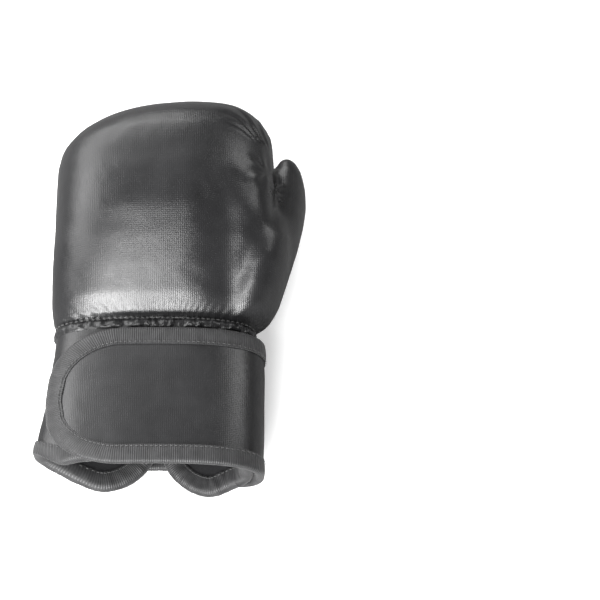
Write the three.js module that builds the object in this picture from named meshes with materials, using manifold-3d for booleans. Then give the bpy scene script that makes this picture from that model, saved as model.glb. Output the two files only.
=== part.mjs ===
// A left-hand boxing glove, lying palm down, in millimetres. +Y points to the knuckles, +X to the thumb, +Z
// to the back of the hand. The glove is drawn from the middle of its wrist seam, with Z 0 on the surface it
// lies on, and the group is moved at the end so that the origin is the bottom centre of the whole glove.
import * as THREE from "three";
import { mergeVertices } from "three/addons/utils/BufferGeometryUtils.js";
import Module from "manifold-3d";

const wasm = await Module();
wasm.setup();

// ---- Sheet materials and the clearance between touching pieces ----
const LEATHER = 1.0; // polyurethane leather
const LINING = 0.8; // nylon lining
const GAP = 0.3; // between two pieces that touch
const HAIR = GAP / 2; // each piece's share of that gap at a straight cut

// ---- Mitt: the padded part in front of the wrist seam ----
const MITT_LENGTH = 161;
const NOSE_LENGTH = 50; // the rounded front of the fist
const KNUCKLE_SLANT = 14; // the little finger's knuckle lies this far behind the first finger's
const NOSE_HEIGHT = 58; // height of the foremost point
const FIST_WIDTH = 147;
const FIST_HEIGHT = 111;
const WRIST_INSET = 2; // the mitt's wrist end lies this far inside the sides of the cuff
const FIST_SQUARENESS = 2.5; // exponent of the section: 2 is an ellipse
const PALM_CREASE_Y = 46; // crease between the heel of the hand and the curled fingers
const PALM_CREASE_DEPTH = 18;
const SOFT_LAYER = 22; // depth of the outer, soft foam over the knuckles
const FIRM_LAYER_START = 44; // the firm foam starts this far from the wrist seam

// ---- Hand compartment ----
const HAND_WIDTH = 86;
const HAND_ROOF = 5; // from the mitt's top at the wrist to the top of the compartment
const HAND_FLOOR = 14; // and from its bottom
const NOSE_PADDING = 35; // from the fingers to the front of the fist
const FINGER_WELL_BOTTOM = 8; // the fingers curl down to here
const GRIP_RADIUS = 8;
const GRIP_SETBACK = 27; // from the ends of the fingers back to the grip bar
const GRIP_Z = 22;

// ---- Thumb ----
const THUMB_BORE = 10; // radius of the thumb compartment
const THUMB_WALL = [5.5, 9.5, 8.5, 2]; // thickness round it at four stations, from the hinge to the tip
const THUMB_NOTCH = [0.3, 0, 1.5, 5]; // extra room round the thumb, widening to the notch beside its tip
const THUMB_SINK = [33, 26, 15, 0]; // the thumb's inner side lies this far inside the widest part of the fist
const THUMB_ALONG = [31, 62, 90, 117]; // from the wrist seam
const THUMB_UP = [31, 33, 36, 41];
const THUMB_SWING = THREE.MathUtils.degToRad(5.2); // outward
const THUMB_BASE_CUT = 3; // the thumb's open end lies this far behind its hinge
const TETHER_WIDTH = 12;
const TETHER_THICKNESS = 1.6;
const TETHER_Y = 116;

// ---- Cuff ----
const CUFF_LENGTH = 102;
const CUFF_WIDTH = 122;
const CUFF_HEIGHT = 53;
const CUFF_SQUARENESS = 2.6;
const CUFF_FOAM = 5;
const FLAP_FOLD_INSET = 7; // the flaps fold this far in from the cuff's sides
const FLAP_REACH = 4; // the flaps end this far beyond the back of the cuff
const SLIT_TOP_Y = -22; // end of the slit between the flaps
const SLIT_HALF_WIDTH = 3;
const FLAP_CORNER = 36;
const BINDING = 0.8; // thickness of the binding tape
const CUFF_BINDING_WIDTH = 9;
const WELT_WIDTH = 7;
const WELT_THICKNESS = 3;

// ---- Strap, wrapped from the little-finger side under the wrist and over the back of it ----
const STRAP_WIDTH = 88;
const STRAP_TOP_Y = -11;
const STRAP_CORE = 1.8; // foam and webbing between the cover and the backing
const STRAP_BINDING_WIDTH = 10;
const STRAP_TIP_INSET = 5; // from the little-finger side of the cuff to the strap's tip
const STRAP_TIP_FLAT = 6; // straight run at the tip, between its two rounded corners
const STRAP_ROOT_TOP_DEG = 12; // the sewn root reaches this far up the little-finger side
const BACK_FOLD_INSET = 30; // the strap's end lifts along a line this far in from the thumb side
const HOOK_THICKNESS = 1.2;
const LOOP_THICKNESS = 1.2;
const HOOK_MARGIN = 14; // from the edge of the strap to the hook tape
const LOOP_INSET = 18; // from the cuff's sides to the loop tape
const THREAD = 0.9;

// ---- Stacks worked out from the sizes above ----
const CUFF_WALL = LEATHER + GAP + CUFF_FOAM + GAP + LINING;
const STRAP_STACK = LEATHER + GAP + STRAP_CORE + GAP + LINING;
const STRAP_IN = GAP + LOOP_THICKNESS + GAP + HOOK_THICKNESS + GAP; // strap backing above the cuff cover
const STRAP_OUT = STRAP_IN + STRAP_STACK;
const BOUND_OUT = STRAP_OUT + GAP + BINDING; // outer face of the strap's binding
const CUFF_Z = CUFF_HEIGHT / 2 + BOUND_OUT; // the bound strap rests on the surface
const STRAP_BOTTOM_Y = STRAP_TOP_Y - STRAP_WIDTH;
const MOUTH_Y = -CUFF_LENGTH;
const FLAP_END_Y = MOUTH_Y - FLAP_REACH;
const WRIST_TOP = CUFF_Z + CUFF_HEIGHT / 2 - 0.7;
const WRIST_BOTTOM = CUFF_Z - CUFF_HEIGHT / 2 + 0.4;
const WRIST_HALF = CUFF_WIDTH / 2 - WRIST_INSET;
const HAND_TOP = WRIST_TOP - HAND_ROOF;
const HAND_BOTTOM = WRIST_BOTTOM + HAND_FLOOR;
const HAND_LENGTH = MITT_LENGTH - NOSE_PADDING; // wrist seam to the ends of the fingers
const GRIP_Y = HAND_LENGTH - GRIP_SETBACK;
const STRAP_TIP_X = STRAP_TIP_INSET - CUFF_WIDTH / 2;
const THUMB_RADII = THUMB_WALL.map((wall) => THUMB_BORE + wall);
const THUMB_SPINE = THUMB_RADII.map((r, i) =>
  new THREE.Vector3(FIST_WIDTH / 2 - THUMB_SINK[i] + r, THUMB_ALONG[i], THUMB_UP[i]));
const THUMB_HINGE = THUMB_SPINE[0];
const SIDE_STEPS = 20; // points round a section of the mitt
const FAR = 400; // reach of a cutting block

// ---- Solids ----

// A three.js geometry as a manifold-3d solid: only positions, shared vertices merged, no collapsed triangles.
function solid(geometry) {
  const bare = geometry.clone();
  bare.deleteAttribute("normal");
  bare.deleteAttribute("uv");
  const merged = mergeVertices(bare, 1e-4);
  const triangles = [];
  for (let i = 0; i < merged.index.count; i += 3) {
    const [a, b, c] = [0, 1, 2].map((k) => merged.index.getX(i + k));
    if (a !== b && b !== c && c !== a) triangles.push(a, b, c);
  }
  const vertProperties = merged.attributes.position.array;
  return new wasm.Manifold(new wasm.Mesh({ numProp: 3, vertProperties, triVerts: new Uint32Array(triangles) }));
}

// Moves each vertex of a geometry with the function place(x, y, z), which returns a THREE.Vector3.
function reshape(geometry, place) {
  geometry.deleteAttribute("normal");
  geometry.deleteAttribute("uv");
  const shape = mergeVertices(geometry);
  const p = shape.attributes.position;
  for (let i = 0; i < p.count; i++) {
    const v = place(p.getX(i), p.getY(i), p.getZ(i));
    p.setXYZ(i, v.x, v.y, v.z);
  }
  return solid(shape);
}

// One coordinate of a superellipse of half axis 1, from the same coordinate of a circle.
const squared = (c, exponent) => Math.sign(c) * Math.abs(c) ** (2 / exponent);

// A block that reaches across the glove along Z, above or below an outline drawn in X and Y.
function plan(points, low = -FAR, high = FAR) {
  const g = new THREE.ExtrudeGeometry(new THREE.Shape(points), { depth: high - low, bevelEnabled: false });
  return solid(g.translate(0, 0, low));
}

// A block whose outline is drawn in X and Z, from Y back to Y front.
function across(points, back, front) {
  const g = new THREE.ExtrudeGeometry(new THREE.Shape(points), { depth: front - back, bevelEnabled: false });
  return solid(g.rotateX(Math.PI / 2).translate(0, front, 0));
}

// A block whose outline is drawn in Y and Z, right across the glove along X.
function profile(points) {
  const g = new THREE.ExtrudeGeometry(new THREE.Shape(points), { depth: 2 * FAR, bevelEnabled: false });
  const turn = new THREE.Matrix4().makeBasis(
    new THREE.Vector3(0, 1, 0),
    new THREE.Vector3(0, 0, 1),
    new THREE.Vector3(1, 0, 0),
  );
  return solid(g.applyMatrix4(turn).translate(-FAR, 0, 0));
}

const v2 = (x, y) => new THREE.Vector2(x, y);
const slab = (back, front) => plan([v2(-FAR, back), v2(FAR, back), v2(FAR, front), v2(-FAR, front)]);

// ---- Mitt forms ----

// How far the mitt has widened, risen and filled out at each station, from 0 at the wrist to 1 at the fist.
const NOSE_START = MITT_LENGTH - NOSE_LENGTH;
const FINGER_RUN = NOSE_START - PALM_CREASE_Y;
const STATIONS = [0, 14, 30, PALM_CREASE_Y, PALM_CREASE_Y + 0.3 * FINGER_RUN, NOSE_START - 0.3 * FINGER_RUN,
  NOSE_START];
const WIDENING = [0, 0.42, 0.62, 0.78, 0.9, 1, 1];
const RISE = [0, 0.24, 0.48, 0.68, 0.86, 0.99, 1];
const PALM_LINE = [WRIST_BOTTOM, 5, 8, PALM_CREASE_DEPTH, 9, 1, 0];

const spline = (values) => new THREE.SplineCurve(STATIONS.map((y, i) => v2(y, values[i])));
const halfWidthLine = spline(WIDENING.map((w) => WRIST_HALF + (FIST_WIDTH / 2 - WRIST_HALF) * w));
const topLine = spline(RISE.map((r) => WRIST_TOP + (FIST_HEIGHT - WRIST_TOP) * r));
const palmLine = spline(PALM_LINE);
const NOSE_SHARE = 0.4; // share of the rings that round the nose
const NOSE_TURN = THREE.MathUtils.degToRad(84); // the last ring is a small flat

// The padded mitt, with its surface moved in by inset.
function mitt(inset) {
  const rings = 12;
  return reshape(new THREE.CylinderGeometry(1, 1, 1, SIDE_STEPS, rings), (cx, cy, cz) => {
    const t = cy + 0.5;
    const u = Math.min(1, t / (1 - NOSE_SHARE));
    const turn = Math.max(0, (t - 1 + NOSE_SHARE) / NOSE_SHARE) * NOSE_TURN;
    const shrink = Math.cos(turn);
    const y = halfWidthLine.getPoint(u).x + (NOSE_LENGTH - inset) * Math.sin(turn);
    const half = (halfWidthLine.getPoint(u).y - inset) * shrink;
    const top = NOSE_HEIGHT + (topLine.getPoint(u).y - inset - NOSE_HEIGHT) * shrink;
    const bottom = NOSE_HEIGHT + (palmLine.getPoint(u).y + inset - NOSE_HEIGHT) * shrink;
    const x = half * squared(cx, FIST_SQUARENESS);
    const slant = KNUCKLE_SLANT * (0.5 - x / FIST_WIDTH) * (y / MITT_LENGTH) ** 2;
    const z = (top + bottom) / 2 + ((top - bottom) / 2) * squared(cz, FIST_SQUARENESS);
    return new THREE.Vector3(x, y - slant, z);
  });
}

// The free space for the hand: level over the palm, with a well at its end where the fingers curl.
const HAND_STATIONS = [-HAND_LENGTH, -46, -37, -22, -12, -6, 0].map((y) => HAND_LENGTH + y);
const HAND_HALVES = [1, 1, 1, 0.98, 0.9, 0.7, 0.4].map((w) => (w * HAND_WIDTH) / 2);
const HAND_TOPS = [0, 0, 0, -1, -5, -12, -19].map((d) => HAND_TOP + d);
const HAND_FLOORS = [HAND_BOTTOM, HAND_BOTTOM, ...[2, 0, 2, 7, 15].map((d) => FINGER_WELL_BOTTOM + d)];

// The hand compartment, grown by grow, from the wrist seam forward.
function handSpace(grow) {
  const rings = HAND_STATIONS.length - 1;
  return reshape(new THREE.CylinderGeometry(1, 1, 1, 16, rings), (cx, cy, cz) => {
    const i = Math.round((cy + 0.5) * rings);
    const y = HAND_STATIONS[i] + (i === rings ? grow : 0);
    const top = HAND_TOPS[i] + grow;
    const bottom = HAND_FLOORS[i] - grow;
    const z = (top + bottom) / 2 + ((top - bottom) / 2) * squared(cz, 2.6);
    return new THREE.Vector3((HAND_HALVES[i] + grow) * squared(cx, 2.6), y, z);
  });
}

// A round finger form along a spine, with radii given at equal steps and domed ends.
function finger(spinePoints, radii, steps, sides) {
  const spine = new THREE.CatmullRomCurve3(spinePoints);
  const radiusLine = new THREE.SplineCurve(radii.map((r, i) => v2(i, r)));
  return reshape(new THREE.CapsuleGeometry(1, 1, 5, sides, steps), (cx, cy, cz) => {
    const u = THREE.MathUtils.clamp(cy + 0.5, 0, 1);
    const dome = cy + 0.5 - u;
    const r = radiusLine.getPoint(u).y;
    const along = spine.getTangent(u);
    const right = along.clone().cross(new THREE.Vector3(0, 0, 1)).normalize();
    const up = right.clone().cross(along);
    return spine.getPoint(u).addScaledVector(along, dome * r).addScaledVector(right, cx * r)
      .addScaledVector(up, cz * r);
  });
}

const thumb = (inset) => finger(THUMB_SPINE, THUMB_RADII.map((r) => r - inset), 8, 18);
const thumbSpace = (grow) => {
  const spine = [THUMB_SPINE[0].clone().setY(THUMB_HINGE.y - 12), ...THUMB_SPINE.slice(1, 3),
    THUMB_SPINE[3].clone().lerp(THUMB_SPINE[2], 0.35)];
  return finger(spine, spine.map(() => THUMB_BORE + grow), 4, 12);
};
const gate = (grow) => {
  const start = new THREE.Vector3(THUMB_HINGE.x - 26, THUMB_HINGE.y - 16, THUMB_HINGE.z + 2);
  return finger([start, THUMB_HINGE], [THUMB_BORE + grow, THUMB_BORE + grow], 2, 12);
};

// ---- Mitt pieces ----

// The palm side of the mitt below its side seam, which dips under the front of the fist.
const seamLine = [v2(-20, -FAR), v2(-20, 34), v2(0, 34), v2(34, 42), v2(70, 46), v2(96, 40), v2(114, 26),
  v2(122, 8), v2(124, -FAR)];
const palmSide = profile(seamLine);
const belowSeam = (shape) => shape.intersect(palmSide);
// Lifting the cut by the gap clears the seam everywhere that it runs level, and moving it forward the rest.
const raisedPalmSide = palmSide.add(profile(seamLine.map((p) => v2(p.x + GAP, p.y + GAP))));
const aboveSeam = (shape) => shape.subtract(raisedPalmSide);
const mittRegion = slab(HAIR, FAR);
const palmRegion = slab(HAIR, PALM_CREASE_Y - HAIR);
const fingerRegion = slab(PALM_CREASE_Y + HAIR, FAR);

// The pocket beside the fist clears the thumb all the way through its swing.
const thumbPocket = [0, 0.5, 1].map((share) => {
  const spine = THUMB_SPINE.map((p) => p.clone().sub(THUMB_HINGE)
    .applyAxisAngle(new THREE.Vector3(0, 0, 1), -share * THUMB_SWING).add(THUMB_HINGE));
  return finger(spine, THUMB_RADII.map((r, i) => r + GAP + THUMB_NOTCH[i]), 8, 18);
}).reduce((a, b) => a.add(b));
const handHollow = handSpace(0).add(gate(0));
const liningOuter = handSpace(LINING).add(gate(LINING));
const padInner = handSpace(LINING + GAP).add(gate(LINING + GAP));

const mittLeather = mitt(0).subtract(mitt(LEATHER)).subtract(thumbPocket).intersect(mittRegion);
const mittFoam = mitt(LEATHER + GAP).subtract(padInner).subtract(thumbPocket).intersect(mittRegion);
const firmBlock = mitt(SOFT_LAYER).intersect(slab(FIRM_LAYER_START, FAR));
const firmPocket = mitt(SOFT_LAYER - GAP).intersect(slab(FIRM_LAYER_START - GAP, FAR));

const backPanel = aboveSeam(mittLeather);
const palmPanel = belowSeam(mittLeather).intersect(palmRegion);
const fingerPanel = belowSeam(mittLeather).intersect(fingerRegion);
const knuckleFoam = aboveSeam(mittFoam);
const softKnucklePad = knuckleFoam.subtract(firmPocket);
const firmKnucklePad = knuckleFoam.intersect(firmBlock);
const palmPad = belowSeam(mittFoam).intersect(palmRegion);
const fingerPad = belowSeam(mittFoam).intersect(fingerRegion);
const handLining = liningOuter.subtract(handHollow).subtract(thumbPocket).intersect(mittRegion);

const gripRod = new THREE.CylinderGeometry(GRIP_RADIUS, GRIP_RADIUS, HAND_WIDTH, 20)
  .rotateZ(Math.PI / 2).translate(0, GRIP_Y, GRIP_Z);
const gripBar = solid(gripRod).intersect(handSpace(-GAP));

// ---- Thumb pieces ----
const thumbRegion = slab(THUMB_HINGE.y - THUMB_BASE_CUT, FAR);
// The thumb's side seam follows its spine, seen from the side.
const thumbSeam = (lift) => profile([v2(0, -FAR), v2(0, THUMB_HINGE.z + lift),
  ...THUMB_SPINE.map((p) => v2(p.y, p.z + lift)), v2(FAR, THUMB_SPINE.at(-1).z + lift), v2(FAR, -FAR)]);
const thumbHollow = thumbSpace(LINING + GAP);
const thumbLeather = thumb(0).subtract(thumb(LEATHER)).subtract(thumbHollow).intersect(thumbRegion);
const thumbBackPanel = thumbLeather.subtract(thumbSeam(GAP));
const thumbPalmPanel = thumbLeather.intersect(thumbSeam(0));
const thumbPad = thumb(LEATHER + GAP).subtract(thumbHollow).intersect(thumbRegion);
const thumbLining = thumbSpace(LINING).subtract(thumbSpace(0)).intersect(thumbRegion);

// The tether bridges the notch between the thumb's tip and the side of the fist.
const tetherBlock = new THREE.BoxGeometry(40, TETHER_THICKNESS, TETHER_WIDTH)
  .translate(THUMB_SPINE[3].x - 20, TETHER_Y, THUMB_SPINE[3].z + 4);
const thumbTether = solid(tetherBlock).subtract(thumb(-GAP)).subtract(mitt(-GAP).subtract(thumbPocket));

// ---- Cuff and strap sections ----

// A point on the cuff's section, off the cover by lift, at an angle from the thumb side over the back.
function cuffPoint(angle, lift) {
  const a = CUFF_WIDTH / 2;
  const b = CUFF_HEIGHT / 2;
  const at = v2(a * squared(Math.cos(angle), CUFF_SQUARENESS), b * squared(Math.sin(angle), CUFF_SQUARENESS));
  const power = CUFF_SQUARENESS - 1;
  const slope = (c, half) => Math.sign(c) * Math.abs(c / half) ** power / half;
  const normal = v2(slope(at.x, a), slope(at.y, b));
  return at.add(normal.normalize().multiplyScalar(lift)).add(v2(0, CUFF_Z));
}
const angleInFrom = (inset) => Math.acos(squared(1 - (2 * inset) / CUFF_WIDTH, 4 / CUFF_SQUARENESS));

// A band that follows the cuff between two angles and two lifts, from Y back to Y front. A cutting band runs on
// past both angles, so that it leaves no skin at the ends of what it cuts.
function band(from, to, inner, outer, back, front, runOn = 0) {
  const steps = 13; // an odd number, so that the middle facet under the wrist is level
  const angles = Array.from({ length: steps + 1 }, (_, i) => from + ((to - from) * i) / steps);
  if (runOn) angles.splice(0, angles.length, from - runOn, ...angles, to + runOn);
  const outside = angles.map((t) => cuffPoint(t, outer));
  const inside = angles.map((t) => cuffPoint(t, inner)).reverse();
  return across([...outside, ...inside], back, front);
}

// A closed ring that follows the cuff.
function ring(inner, outer, back, front) {
  const steps = 32;
  const loop = (lift) => Array.from({ length: steps }, (_, i) => cuffPoint((2 * Math.PI * i) / steps, lift));
  return across(loop(outer), back, front).subtract(across(loop(inner), back - 1, front + 1));
}

const FLAP_ANGLE = angleInFrom(FLAP_FOLD_INSET);
const thumbEdge = -FLAP_ANGLE; // where the thumb-side flap folds
const littleEdge = Math.PI + FLAP_ANGLE; // where the little-finger flap folds

// The palm side of the cuff between its two fold lines: a wedge block bounded by the cuts across the wall.
function palmWedge(trim) {
  const depth = 30;
  const [right, left] = [thumbEdge, littleEdge].map((t) => cuffPoint(t, 0));
  const [rightIn, leftIn] = [thumbEdge, littleEdge].map((t) => cuffPoint(t, -depth));
  const [rightOut, leftOut] = [thumbEdge, littleEdge].map((t) => cuffPoint(t, depth));
  const move = (p, d) => v2(p.x + d, p.y);
  return [move(leftOut, trim), v2(0, -FAR), move(rightOut, -trim), move(right, -trim), move(rightIn, -trim),
    move(leftIn, trim), move(left, trim)];
}
const backWallRegion = slab(-FAR, SLIT_TOP_Y).intersect(across(palmWedge(0), -FAR, SLIT_TOP_Y));
const flapWedge = across(palmWedge(GAP), -FAR, SLIT_TOP_Y - GAP);

// One flap's outline, with its rounded corner at the mouth; side is 1 on the thumb side and -1 on the other.
function flapOutline(side, margin) {
  const r = FLAP_CORNER - margin;
  const inner = SLIT_HALF_WIDTH + margin;
  const bottom = FLAP_END_Y + margin;
  const points = [v2(FAR, 0), v2(inner, 0)];
  for (let i = 0; i <= 8; i++) {
    const t = Math.PI + (i / 8) * (Math.PI / 2);
    points.push(v2(inner + r + r * Math.cos(t), bottom + r + r * Math.sin(t)));
  }
  points.push(v2(FAR, bottom));
  return plan(points.map((p) => v2(side * p.x, p.y)));
}

// ---- Cuff pieces ----
const bindingSlot = BINDING + GAP; // from a bound edge to the edge of the layers inside it
const coverRing = ring(-LEATHER, 0, -FAR, -WELT_WIDTH - GAP);
const foamRing = ring(-LEATHER - GAP - CUFF_FOAM, -LEATHER - GAP, -FAR, -HAIR);
const liningRing = ring(-CUFF_WALL, -CUFF_WALL + LINING, -FAR, -HAIR);
const bindingRing = ring(-CUFF_WALL - bindingSlot, bindingSlot, -FAR, SLIT_TOP_Y);
const bindingBore = ring(-CUFF_WALL - GAP, GAP, -FAR, FAR);

const ofBack = (shape, margin) => shape.subtract(backWallRegion).intersect(slab(MOUTH_Y + margin, FAR));
const cuffBackCover = ofBack(coverRing, bindingSlot);
const cuffBackPad = ofBack(foamRing, bindingSlot);
const cuffBackLining = ofBack(liningRing, bindingSlot);
const cuffBackBinding = ofBack(bindingRing, 0).subtract(bindingBore.intersect(slab(MOUTH_Y + BINDING, FAR)))
  .intersect(slab(-FAR, MOUTH_Y + CUFF_BINDING_WIDTH));

const ofFlap = (shape, side, margin) => shape.intersect(flapWedge).intersect(flapOutline(side, margin));
function flapPieces(side) {
  const rim = ofFlap(bindingRing, side, 0);
  const slot = bindingBore.intersect(flapOutline(side, BINDING));
  return {
    cover: ofFlap(coverRing, side, bindingSlot),
    pad: ofFlap(foamRing, side, bindingSlot),
    lining: ofFlap(liningRing, side, bindingSlot),
    binding: rim.subtract(slot).subtract(flapOutline(side, CUFF_BINDING_WIDTH)),
  };
}
const thumbFlap = flapPieces(1);
const littleFlap = flapPieces(-1);

// The gathered welt sits proud of the cuff cover, between the mitt and the cuff.
const wristWelt = ring(-LEATHER, WELT_THICKNESS - LEATHER, -WELT_WIDTH, -HAIR);

// The loop tape is sewn on the back of the cuff, under the strap.
const loopEdge = angleInFrom(LOOP_INSET);
const loopPatch = band(loopEdge, Math.PI - loopEdge, GAP, GAP + LOOP_THICKNESS,
  STRAP_BOTTOM_Y + HOOK_MARGIN, STRAP_TOP_Y - HOOK_MARGIN);

// ---- Strap pieces ----

// The strap's outline seen from the back of the wrist, with its rounded tip, moved in by margin.
function strapOutline(margin) {
  const r = (STRAP_WIDTH - STRAP_TIP_FLAT) / 2 - margin;
  const tip = STRAP_TIP_X + margin;
  const [low, high] = [STRAP_BOTTOM_Y + margin, STRAP_TOP_Y - margin];
  const points = [v2(FAR, low)];
  points.push(v2(FAR, high));
  for (let i = 0; i <= 8; i++) {
    const t = Math.PI / 2 + (i / 8) * (Math.PI / 2);
    points.push(v2(tip + r + r * Math.cos(t), high - r + r * Math.sin(t)));
  }
  for (let i = 0; i <= 8; i++) {
    const t = Math.PI + (i / 8) * (Math.PI / 2);
    points.push(v2(tip + r + r * Math.cos(t), low + r + r * Math.sin(t)));
  }
  return points.reverse();
}

const rootTop = Math.PI + THREE.MathUtils.degToRad(STRAP_ROOT_TOP_DEG);
const backFold = angleInFrom(BACK_FOLD_INSET);
const foldTrim = GAP / (CUFF_HEIGHT / 2); // the angle that opens about the gap at a fold
const RUN_ON = 0.05; // the angle by which a cutting band runs on
// The strap's four stretches, by the angles that they span, in the order in which they unwrap.
const stretches = {
  root: [rootTop, littleEdge],
  palm: [littleEdge + foldTrim, 2 * Math.PI + thumbEdge - foldTrim],
  side: [thumbEdge + foldTrim, backFold],
  end: [backFold + foldTrim, Math.PI],
};

// One layer of a stretch, between two lifts, set in from the strap's long edges by margin.
function strapLayer(name, inner, outer, margin, runOn = 0) {
  const [from, to] = stretches[name];
  const layer = band(from, to, inner, outer, STRAP_BOTTOM_Y + margin, STRAP_TOP_Y - margin, runOn);
  return name === "end" ? layer.intersect(plan(strapOutline(margin), CUFF_Z, FAR)) : layer;
}

const slotMargin = BINDING + GAP;
const strapCover = (name) => strapLayer(name, STRAP_OUT - LEATHER, STRAP_OUT, slotMargin);
const strapCore = (name) => strapLayer(name, STRAP_IN + LINING + GAP, STRAP_OUT - LEATHER - GAP, slotMargin);
const strapBacking = (name) => strapLayer(name, STRAP_IN, STRAP_IN + LINING, slotMargin);

// The binding tape folded over the strap's edge.
function strapBinding(name) {
  const outside = strapLayer(name, STRAP_IN - slotMargin, BOUND_OUT, 0);
  const slot = strapLayer(name, STRAP_IN - GAP, STRAP_OUT + GAP, BINDING, RUN_ON);
  const window = strapLayer(name, 0, 2 * BOUND_OUT, STRAP_BINDING_WIDTH, RUN_ON);
  return outside.subtract(slot).subtract(window);
}
const upperEdge = slab(STRAP_TOP_Y - STRAP_BINDING_WIDTH, FAR);
const lowerEdge = slab(-FAR, STRAP_BOTTOM_Y + STRAP_BINDING_WIDTH);

const hookTape = strapLayer("end", STRAP_IN - GAP - HOOK_THICKNESS, STRAP_IN - GAP, HOOK_MARGIN);

// A line of thread just inside the binding of the strap's end, lying on its cover.
const threadLine = (margin) => strapLayer("end", STRAP_OUT + GAP, STRAP_OUT + GAP + THREAD, margin);
const tipThread = threadLine(STRAP_BINDING_WIDTH + GAP)
  .subtract(strapLayer("end", 0, 2 * BOUND_OUT, STRAP_BINDING_WIDTH + GAP + THREAD, RUN_ON));

// The thread ring of the wrist seam, laid on the mitt just in front of the welt.
const SEAM_THREAD_Y = 4;
const wristThread = mitt(-GAP - THREAD).subtract(mitt(-GAP)).subtract(thumb(-GAP - THREAD))
  .intersect(slab(SEAM_THREAD_Y, SEAM_THREAD_Y + THREAD));

// ---- Materials ----
const leather = (color) => new THREE.MeshStandardMaterial({ color, roughness: 0.42, metalness: 0 });
const cloth = (color) => new THREE.MeshStandardMaterial({ color, roughness: 0.9, metalness: 0 });
const BLACK_LEATHER = leather(0x1c1c1e);
const BLACK_TAPE = cloth(0x202022);
const BLACK_LINING = cloth(0x17171a);
const GREY_FOAM = cloth(0x5a5a60);
const HOOK_BLACK = cloth(0x0e0e10);
const THREAD_BLACK = cloth(0x2a2a2c);

// ---- Assembly ----
function piece(name, shape, material) {
  const made = shape.getMesh();
  const geometry = new THREE.BufferGeometry()
    .setAttribute("position", new THREE.BufferAttribute(Float32Array.from(made.vertProperties), 3))
    .setIndex(new THREE.BufferAttribute(Uint32Array.from(made.triVerts), 1));
  geometry.computeVertexNormals();
  const mesh = new THREE.Mesh(geometry, material);
  mesh.name = name;
  return mesh;
}

function assembly(...children) {
  const group = new THREE.Group();
  group.add(...children);
  return group;
}

const strapEnd = assembly(
  piece("strap_end_cover", strapCover("end"), BLACK_LEATHER),
  piece("strap_end_core", strapCore("end"), GREY_FOAM),
  piece("strap_end_backing", strapBacking("end"), BLACK_LINING),
  piece("strap_end_binding", strapBinding("end"), BLACK_TAPE),
  piece("strap_end_thread", tipThread, THREAD_BLACK),
  piece("hook_tape", hookTape, HOOK_BLACK),
);

const strapMiddle = ["side", "palm"].map((name) => assembly(
  piece(`strap_${name}_cover`, strapCover(name), BLACK_LEATHER),
  piece(`strap_${name}_core`, strapCore(name), GREY_FOAM),
  piece(`strap_${name}_backing`, strapBacking(name), BLACK_LINING),
  piece(`strap_${name}_upper_binding`, strapBinding(name).intersect(upperEdge), BLACK_TAPE),
  piece(`strap_${name}_lower_binding`, strapBinding(name).intersect(lowerEdge), BLACK_TAPE),
));
const [strapSide, strapPalm] = strapMiddle;
strapSide.add(strapEnd);
strapPalm.add(strapSide);

const thumbGroup = assembly(
  piece("thumb_back_panel", thumbBackPanel, BLACK_LEATHER),
  piece("thumb_palm_panel", thumbPalmPanel, BLACK_LEATHER),
  piece("thumb_pad", thumbPad, GREY_FOAM),
  piece("thumb_lining", thumbLining, BLACK_LINING),
);

const namedFlaps = Object.entries({ thumb_flap: thumbFlap, little_finger_flap: littleFlap });
const flapGroups = namedFlaps.map(([name, flap]) => assembly(
  piece(`${name}_cover`, flap.cover, BLACK_LEATHER),
  piece(`${name}_pad`, flap.pad, GREY_FOAM),
  piece(`${name}_lining`, flap.lining, BLACK_LINING),
  piece(`${name}_binding`, flap.binding, BLACK_TAPE),
));

const glove = assembly(
  piece("back_panel", backPanel, BLACK_LEATHER),
  piece("palm_panel", palmPanel, BLACK_LEATHER),
  piece("finger_panel", fingerPanel, BLACK_LEATHER),
  piece("soft_knuckle_pad", softKnucklePad, GREY_FOAM),
  piece("firm_knuckle_pad", firmKnucklePad, GREY_FOAM),
  piece("palm_pad", palmPad, GREY_FOAM),
  piece("finger_pad", fingerPad, GREY_FOAM),
  piece("hand_lining", handLining, BLACK_LINING),
  piece("grip_bar", gripBar, BLACK_LINING),
  piece("thumb_tether", thumbTether, BLACK_LEATHER),
  piece("wrist_welt", wristWelt, BLACK_LEATHER),
  piece("wrist_thread", wristThread, THREAD_BLACK),
  piece("cuff_back_cover", cuffBackCover, BLACK_LEATHER),
  piece("cuff_back_pad", cuffBackPad, GREY_FOAM),
  piece("cuff_back_lining", cuffBackLining, BLACK_LINING),
  piece("cuff_back_binding", cuffBackBinding, BLACK_TAPE),
  piece("loop_tape", loopPatch, BLACK_TAPE),
  piece("strap_root", strapLayer("root", STRAP_IN, STRAP_OUT, 0), BLACK_LEATHER),
  thumbGroup,
  ...flapGroups,
  strapPalm,
);

// The origin goes to the bottom centre of the whole glove.
const bounds = new THREE.Box3().setFromObject(glove);
const centre = bounds.getCenter(new THREE.Vector3());
glove.position.set(-centre.x, -centre.y, -bounds.min.z);

export default assembly(glove);
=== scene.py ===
"""A left-hand boxing glove in glossy black polyurethane leather, lying palm down on a pale surface."""

import math

import bpy
import numpy as np
from mathutils import Matrix, Vector, noise


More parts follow.
